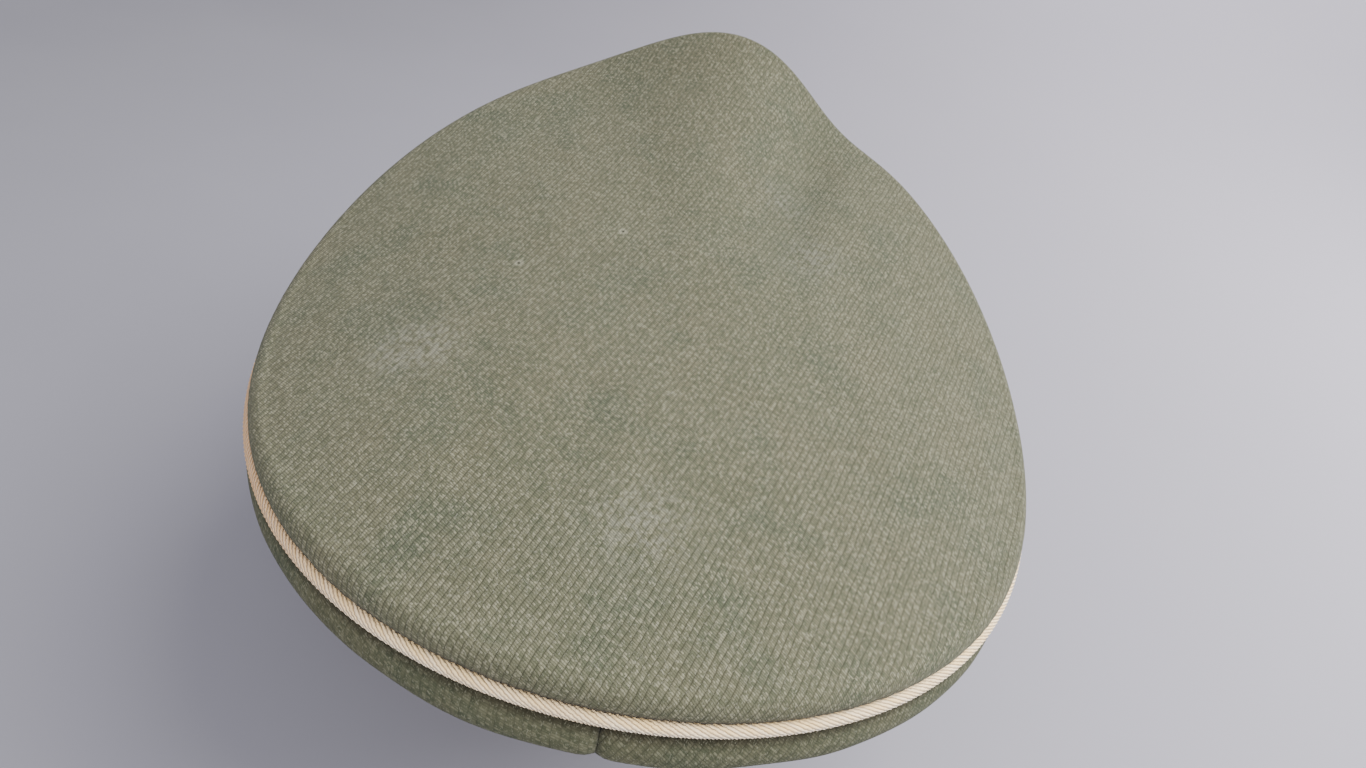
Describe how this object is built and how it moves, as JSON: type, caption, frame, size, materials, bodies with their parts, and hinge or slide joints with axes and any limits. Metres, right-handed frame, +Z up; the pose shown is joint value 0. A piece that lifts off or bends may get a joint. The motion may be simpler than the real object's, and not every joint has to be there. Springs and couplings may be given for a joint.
{
  "type": "military peaked cap",
  "caption": "Military peaked cap with a saddle-shaped cloth crown, piped rolled edge, stiff visor and leather chin strap with slides.",
  "frame": {"origin": "middle of the head opening, level with the band's lower rim", "axes": "+Z up through the crown, -Y to the front with the visor, +X to the wearer's left"},
  "size_m": [0.2758, 0.3007, 0.1762],
  "materials": {
    "crown_cloth": "ribbed field-grey wool cloth",
    "band_cloth": "dark green wool cloth",
    "piping_cord": "ivory twisted cord",
    "visor_lacquer": "black lacquer on fibre",
    "strap_leather": "black smooth leather",
    "sweat_leather": "tan leather",
    "lining_satin": "gold-brown satin",
    "button_metal": "matt silver finish",
    "spring_steel": "plain steel",
    "fibre_board": "vulcanised fibre",
    "canvas": "stiffened canvas",
    "felt": "grey felt",
    "celluloid": "clear yellowed celluloid",
    "ribbon": "brown ribbon"
  },
  "bodies": {
    "cap": {"crown_top": "crown_cloth", "side_front_left": "crown_cloth", "side_front_right": "crown_cloth", "side_rear_left": "crown_cloth", "side_rear_right": "crown_cloth", "crown_piping": "piping_cord", "crown_wire": "spring_steel", "edge_padding": "felt", "front_spring": "spring_steel", "front_interlining": "canvas", "crown_lining": "lining_satin", "side_lining": "lining_satin", "sweat_shield": "celluloid", "band_cover": "band_cloth", "band_stiffener": "fibre_board", "band_piping_upper": "piping_cord", "band_piping_lower": "piping_cord", "sweatband": "sweat_leather", "sweatband_bow": "ribbon", "visor": "visor_lacquer", "visor_binding": "strap_leather", "visor_lining": "sweat_leather", "button_left": "button_metal", "button_right": "button_metal", "button_washer_left": "strap_leather", "button_washer_right": "strap_leather", "button_pin_left": "spring_steel", "button_pin_right": "spring_steel", "cap_badge": "button_metal", "badge_pin_left": "spring_steel", "badge_pin_right": "spring_steel"},
    "chin_strap": {"strap_outer": "strap_leather", "strap_inner": "strap_leather"},
    "slide_left": {"slide_left": "button_metal"},
    "slide_right": {"slide_right": "button_metal"}
  },
  "joints": [
    {"name": "strap_lift", "type": "hinge", "parent": "cap", "child": "chin_strap", "pos_m": [0, -0.0322, 0.0125], "axis": [-1, 0, 0], "range_deg": [0, 6]},
    {"name": "slide_left_run", "type": "hinge", "parent": "chin_strap", "child": "slide_left", "pos_m": [0, -0.02941, 0.0125], "axis": [0, 0, -1], "range_deg": [-2, 24]},
    {"name": "slide_right_run", "type": "hinge", "parent": "chin_strap", "child": "slide_right", "pos_m": [0, -0.02941, 0.0125], "axis": [0, 0, 1], "range_deg": [-2, 24]}
  ]
}
